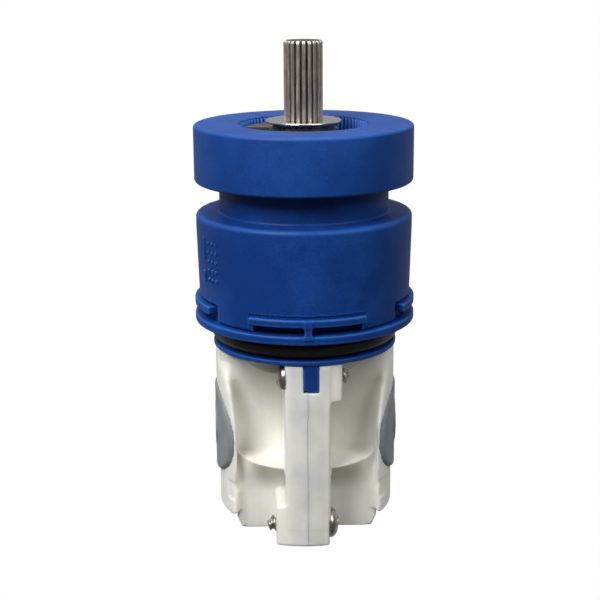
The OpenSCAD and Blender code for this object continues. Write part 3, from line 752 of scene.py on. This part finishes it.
def casing_field(side):
    """One half of the casing: side 1 is the right-hand half."""

    def field(x, y, z):
        r, ax, ay = np.hypot(x, y), np.abs(x), np.abs(y)
        outer = np.interp(z, [11, 30], [casing_r - casing_draft, casing_r])
        body = meet(meet(r - outer, z - casing_top, 1.1), pad_z - z, 0.7)
        core_side = ax - pad_x + np.clip(core_chamfer - z, 0, core_chamfer) / core_chamfer
        body = np.minimum(body, meet(meet(core_side, slab(z, 0, core_top), 0.3), ay - lower_wall_y - 1))
        # The edge of a scoop is rounder along the pad, away from the ledge and the seal.
        softer = np.interp(ax, [12.5, 14.8], [0, 1]) * np.interp(z, [10, 14, 21, 27], [1.3, 0.3, 0.3, 1.3])
        body = cut(body, scoop_field(x, y, z), 0.3 + softer)
        upper_boss = meet(ax - upper_boss_x, upper_boss_z - z, 0.5)
        lower_boss = meet(ax - lower_boss_x, z - lower_boss_z, 1.0)
        flange = join(ax - flange_x, np.where(side * y < 0, upper_boss, lower_boss), 0.9)
        flange = meet(meet(flange, -z, 0.5), r - casing_r + 0.02, 0.55)
        body = join(body, meet(flange, flange_inner_y - ay), 0.6)
        body = meet(body, z - casing_top)
        for to_front, z0 in ((-side, upper_screw_z), (side, lower_screw_z)):
            away = np.hypot(y - to_front * screw_y, z - z0)
            body = cut(body, meet(away - head_r - 0.45, screw_seat - ax), 0.12)
        for turn in (1, -1):
            slot = meet(slab(turn * x, *key_slot_sides), key_slot_z - z, 0.15)
            body = cut(body, meet(slot, turn * y + key_slot_y), 0.1)
        body = cut(body, waterway_field(x, y, z))
        body = cut(body, meet(r - hook_r - 0.1, slab(z, gasket_low[2], gasket_top)))
        body = cut(body, meet(r - spigot_r - 0.1, spigot_hole_z - z))
        # The hole for the sleeve, which narrows quickly past the sleeve's end.
        narrower = np.maximum(ax - sleeve_end_x, 0) * 9
        body = cut(body, np.hypot(y, z - sleeve_z) - sleeve_hole_r + narrower)
        for turn in (30, 150, 210, 330):
            mark = arc_block(x, y, z, (casing_r - mark_depth, beyond), turn, mark_half, mark_heights, 0.4)
            body = cut(body, mark, 0.4)
        return np.maximum(body, -side * x)

    return field


def port_outline(y, z, grow):
    """A seal's outline along X: round above and at the sides, and nearly flat below."""
    round_part = np.hypot(y, z - seal_round_z) - seal_round_r
    base = np.hypot(y, z - seal_low[2] - seal_base_r) - seal_base_r
    return meet(round_part, base, 1.6) - grow


def waterway_field(x, y, z):
    """Port, chamber and riser in each half, the outlet pocket at the rear and the seals' pockets."""
    ax = np.abs(x)
    port = meet(np.hypot(y, z - port_z) - port_r, port_floor_x - ax)
    chamber = meet(meet(slab(ax, *chamber_x), np.abs(y) - chamber_half_y, 0.5), slab(z, *chamber_z), 0.5)
    riser = meet(np.hypot(ax - port_circle_r, y) - disc_port_r, chamber_z[0] - z)
    outlet = meet(meet(slab(y, *outlet_y), slab(z, *outlet_z), 0.5), ax - outlet_half_x, 0.5)
    outlet_riser = meet(np.hypot(x, y - port_circle_r) - disc_port_r, outlet_riser_z - z)
    seal_pocket = meet(port_outline(y, z, 0.05), seal_floor_r - 0.05 - np.hypot(x, y))
    return np.minimum.reduce([port, chamber, riser, outlet, outlet_riser, seal_pocket])


def make_casing():
    halves = ((1, "casing_right", "casing_half_right"), (-1, "casing_left", "casing_half_left"))
    for side, node, name in halves:
        low = (0 if side > 0 else -casing_r, -casing_r, 0)
        high = (casing_r if side > 0 else 0, casing_r, casing_top)
        finish_piece(moulded(name, casing_field(side), low, high, 0.3, parted=True), node)


def make_port_seals():
    for side, node, name in ((1, "port_seal_right", "seal_right"), (-1, "port_seal_left", "seal_left")):

        def field(x, y, z):
            r = np.hypot(x, y)
            away = np.hypot(y, z - port_z)
            pad = meet(r - casing_r - seal_proud, port_outline(y, z, 0), 0.9)
            lip = meet(away - port_lip_r, side * x - casing_r - seal_proud + 0.05, 0.5)
            pad = meet(join(pad, lip, 0.3), np.maximum(seal_floor_r - r, -side * x))
            return cut(pad, away - port_r, 0.1)

        low, high = mm_box(node)
        finish_piece(moulded(name, field, low, high, 0.25), node)


# ---------------------------------------------------------------- screws
screw_length, head_h = 12.9, 2.1
# How far the recesses of the upper and lower screws have turned, in radians.
upper_twist, lower_twist = 0.5, 0.9


def screw_field(x, y, z):
    """A self-tapping pan-head screw along +X with its head's seat at x = 0."""
    r = np.hypot(y, z)
    turn = np.arctan2(z, y) / (2 * math.pi)
    pitch, root, crest = 1.35, 1.22, 1.75
    ridge = np.abs((x / pitch - turn) % 1 - 0.5) * 2
    taper = np.interp(x, [0, 12.1, screw_length], [0, 0, 1.0])
    shank = (r - (root + (crest - root) * np.clip(1.25 - ridge * 1.9, 0, 1)) + taper) * 0.75
    shank = meet(shank, slab(x, -0.5, screw_length), 0.15)
    dome = np.sqrt((x + 0.1) ** 2 * 2.6 + r**2) - head_r - 0.02
    head = meet(meet(dome * 0.8, slab(x, -head_h, 0), 0.25), r - head_r, 0.35)
    # The recess: two slots that cross, wider towards the top, with a floor that rises from the middle.
    slot_half, slot_reach, flare = 0.42, 1.75, 0.12 * (-x - 1)
    upright = meet(np.abs(y) - slot_half - flare, np.abs(z) - slot_reach)
    level = meet(np.abs(z) - slot_half - flare, np.abs(y) - slot_reach)
    cross = meet(np.minimum(upright, level), x + 1.0 - 0.25 * r)
    return cut(join(head, shank, 0.2), cross, 0.08)


def make_screws():
    """Four screws in one mesh: each half of the casing is held from the other side at top and bottom."""
    low, high = (-head_h - 0.1, -head_r, -head_r), (screw_length, head_r, head_r)
    points, quads, normals = surface(screw_field, low, high, 0.16)
    places = []
    for half_turn in (0, math.pi):
        spin = Matrix.Rotation(half_turn, 4, "Z")
        upper = Matrix.Translation((-screw_seat, screw_y, upper_screw_z))
        upper = upper @ Matrix.Rotation(upper_twist, 4, "X")
        lower = Matrix.Translation((screw_seat, screw_y, lower_screw_z)) @ Matrix.Rotation(math.pi, 4, "Z")
        places += [spin @ upper, spin @ lower @ Matrix.Rotation(lower_twist, 4, "X")]
    all_points, all_quads, all_normals = [], [], []
    for i, m in enumerate(places):
        m = np.array(m)
        all_points.append(points @ m[:3, :3].T + m[:3, 3])
        all_normals.append(normals @ m[:3, :3].T)
        all_quads.append(quads + i * len(points))
    piece = add_mesh("casing_screw_set", *map(np.concatenate, (all_points, all_quads, all_normals)))
    finish_piece(piece, "casing_screws")


# ---------------------------------------------------------------- spindle
spline_teeth, spline_depth = 20, 0.6
spline_r, journal_r, groove_floor_r, flange_r = 4.0, 6, 4.55, 9
journal_top, flange_top, flange_low, tang_low = 73.9, 62.4, 60.6, 56.6
# The top and bottom of each O-ring groove.
ring_grooves = ((71.25, 69.15), (67.85, 65.75))
tang_half_x, tang_half_y = 7, 2.5


def spline_teeth_wobble(angles, r, z):
    """Broached teeth with flat tips and rounded roots, fading out below the splined length."""
    near_centre = r < 0.5
    if z < plate_low[2] or near_centre:
        return np.full(len(angles), r)
    phase = np.abs((angles / (2 * math.pi) * spline_teeth) % 1 - 0.5) * 2
    root = np.clip((0.5 - phase) / 0.26, 0, 1)
    root = root * root * (3 - 2 * root)
    return np.minimum(r, r - spline_depth * root + max(0, spline_r - r) * root)


def make_spindle():
    centre_r, top, teeth_low, columns_per_tooth = 0.02, spindle_high[2], plate_low[2], 24
    # The radius of each row at the end, and how far it is below the top.
    end = [(centre_r, 0), (1.2, 0), (2.4, 0), (3.3, 0), (3.66, 0.02), (3.82, 0.14), (3.94, 0.28)]
    outline = [(r, top - drop) for r, drop in end + [(spline_r, 0.4)]]
    outline += [(spline_r, z) for z in np.linspace(top - 0.8, teeth_low + 0.01, 24)]
    outline += [(spline_r, teeth_low - 0.02), (spline_r, journal_top)]
    outline += [(journal_r - 0.1, journal_top), (journal_r, journal_top - 0.1)]
    for high, low in ring_grooves:
        outline += [(journal_r, high), (groove_floor_r, high), (groove_floor_r, low), (journal_r, low)]
    outline += [(journal_r, flange_top), (flange_r, flange_top)]
    outline += [(flange_r, flange_low), (centre_r, flange_low)]
    columns = spline_teeth * columns_per_tooth
    piece = lathe("spindle_splined", outline[::-1], columns, spline_teeth_wobble, closed=False)
    sides, ends = (-tang_half_x, tang_half_x), (-tang_half_y, tang_half_y)
    corners = [(x, y, z) for x in sides for y in ends for z in (tang_low, flange_low + 0.02)]
    faces = [(0, 1, 3, 2), (4, 6, 7, 5), (0, 4, 5, 1), (2, 3, 7, 6), (0, 2, 6, 4), (1, 5, 7, 3)]
    join_into(piece, add_mesh("tang", corners, faces))
    finish_piece(piece, "spindle")


def join_into(piece, other):
    """Adds the other object's mesh to the piece."""
    bpy.ops.object.select_all(action="DESELECT")
    other.select_set(True)
    piece.select_set(True)
    bpy.context.view_layer.objects.active = piece
    bpy.ops.object.join()


def make_washer():
    low, high, r, bore_r = washer_low[2], washer_high[2], washer_high[0], 3.9
    outline = rounded([(bore_r, low, 0.05), (r, low, 0.12), (r, high, 0.2), (bore_r, high, 0.05)], 4)
    finish_piece(lathe("washer_polished", outline, columns=192), "spindle_washer")


def make_o_ring():
    """The body O-ring, with the line that a trimmed ring keeps round its outside."""
    section = (ring_seal_high[2] - ring_seal_low[2]) / 2
    middle_r, middle_z = ring_seal_high[0] - section, (ring_seal_low[2] + ring_seal_high[2]) / 2
    outline, count = [], 48
    for i in range(count):
        t = i * 2 * math.pi / count
        reach = section + (0.0 if i else -0.03)
        outline.append((middle_r + reach * math.cos(t), middle_z + reach * math.sin(t)))
    finish_piece(lathe("o_ring_body", outline, columns=256), "body_o_ring")


# ---------------------------------------------------------------- build
make_collar()
make_upper_housing()
make_lower_housing()
make_casing()
make_port_seals()
make_screws()
make_spindle()
make_washer()
make_o_ring()
for node, part in frame["nodes"].items():
    part.data.materials.clear()
    part.data.materials.append(materials[slots[node]])
# The stop plate shows in the recess, and is the one piece there that is stained.
frame["nodes"]["stop_plate"].data.materials[0] = stained_steel()

# ---------------------------------------------------------------- camera and light
camera_at = Vector((-8.66, -279.17, 122.6)) * MM
azimuth, elevation, roll = math.radians(-1.58), math.radians(14.87), math.radians(-0.386)
away, rise = math.cos(elevation), math.sin(elevation)
back = Vector((math.sin(azimuth) * away, -math.cos(azimuth) * away, rise))
level_right = Vector((math.cos(azimuth), math.sin(azimuth), 0))
level_up = back.cross(level_right)
right = level_right * math.cos(roll) + level_up * math.sin(roll)
up = back.cross(right)
camera = bpy.data.objects.new("camera", bpy.data.cameras.new("camera"))
camera.data.lens, camera.data.sensor_width = 81.2, 36
camera.data.clip_start = 0.01
camera.matrix_world = Matrix.Translation(camera_at) @ Matrix((right, up, back)).transposed().to_4x4()
bpy.context.scene.collection.objects.link(camera)
bpy.context.scene.camera = camera


def softbox(name, at, power):
    """A round lamp of half a metre, aimed at the middle of the object."""
    light = bpy.data.lights.new(name, "AREA")
    light.energy, light.shape, light.size = power, "DISK", 0.5
    lamp = bpy.data.objects.new(name, light)
    lamp.location = at
    lamp.rotation_mode = "QUATERNION"
    middle = Vector((0, 0, 0.06))
    lamp.rotation_quaternion = (Vector(at) - middle).to_track_quat("Z", "Y")
    bpy.context.scene.collection.objects.link(lamp)


softbox("overhead", (-0.05, 0.1, 0.75), 3)
softbox("key_left", (-0.42, -0.48, 0.66), 9)
softbox("fill_right", (0.45, -0.5, 0.6), 3)


def make_world():
    """White to the camera. As a light it is dim in front, bright behind and above."""
    world = bpy.data.worlds.new("studio")
    world.use_nodes = True
    nodes, links = world.node_tree.nodes, world.node_tree.links
    nodes.clear()
    split = nodes.new("ShaderNodeSeparateXYZ")
    links.new(nodes.new("ShaderNodeTexCoord").outputs["Generated"], split.inputs[0])
    parts, dimmest = [], 0.05
    for socket, low, high, most in (("Y", -0.1, 0.6, 0.3), ("Z", 0.3, 1.0, 0.4)):
        part = nodes.new("ShaderNodeMapRange")
        part.interpolation_type = "SMOOTHSTEP"
        for key, number in zip(("From Min", "From Max", "To Min", "To Max"), (low, high, dimmest, most)):
            part.inputs[key].default_value = number
        links.new(split.outputs[socket], part.inputs["Value"])
        parts.append(part.outputs[0])
    total = nodes.new("ShaderNodeMath")
    for part, socket in zip(parts, total.inputs):
        links.new(part, socket)
    light, white = nodes.new("ShaderNodeBackground"), nodes.new("ShaderNodeBackground")
    mix = nodes.new("ShaderNodeMixShader")
    light.inputs["Color"].default_value = white.inputs["Color"].default_value = (1, 1, 1, 1)
    links.new(total.outputs[0], light.inputs["Strength"])
    links.new(nodes.new("ShaderNodeLightPath").outputs["Is Camera Ray"], mix.inputs[0])
    links.new(light.outputs[0], mix.inputs[1])
    links.new(white.outputs[0], mix.inputs[2])
    links.new(mix.outputs[0], nodes.new("ShaderNodeOutputWorld").inputs["Surface"])
    bpy.context.scene.world = world
    bpy.context.scene.view_settings.view_transform = "Standard"


make_world()
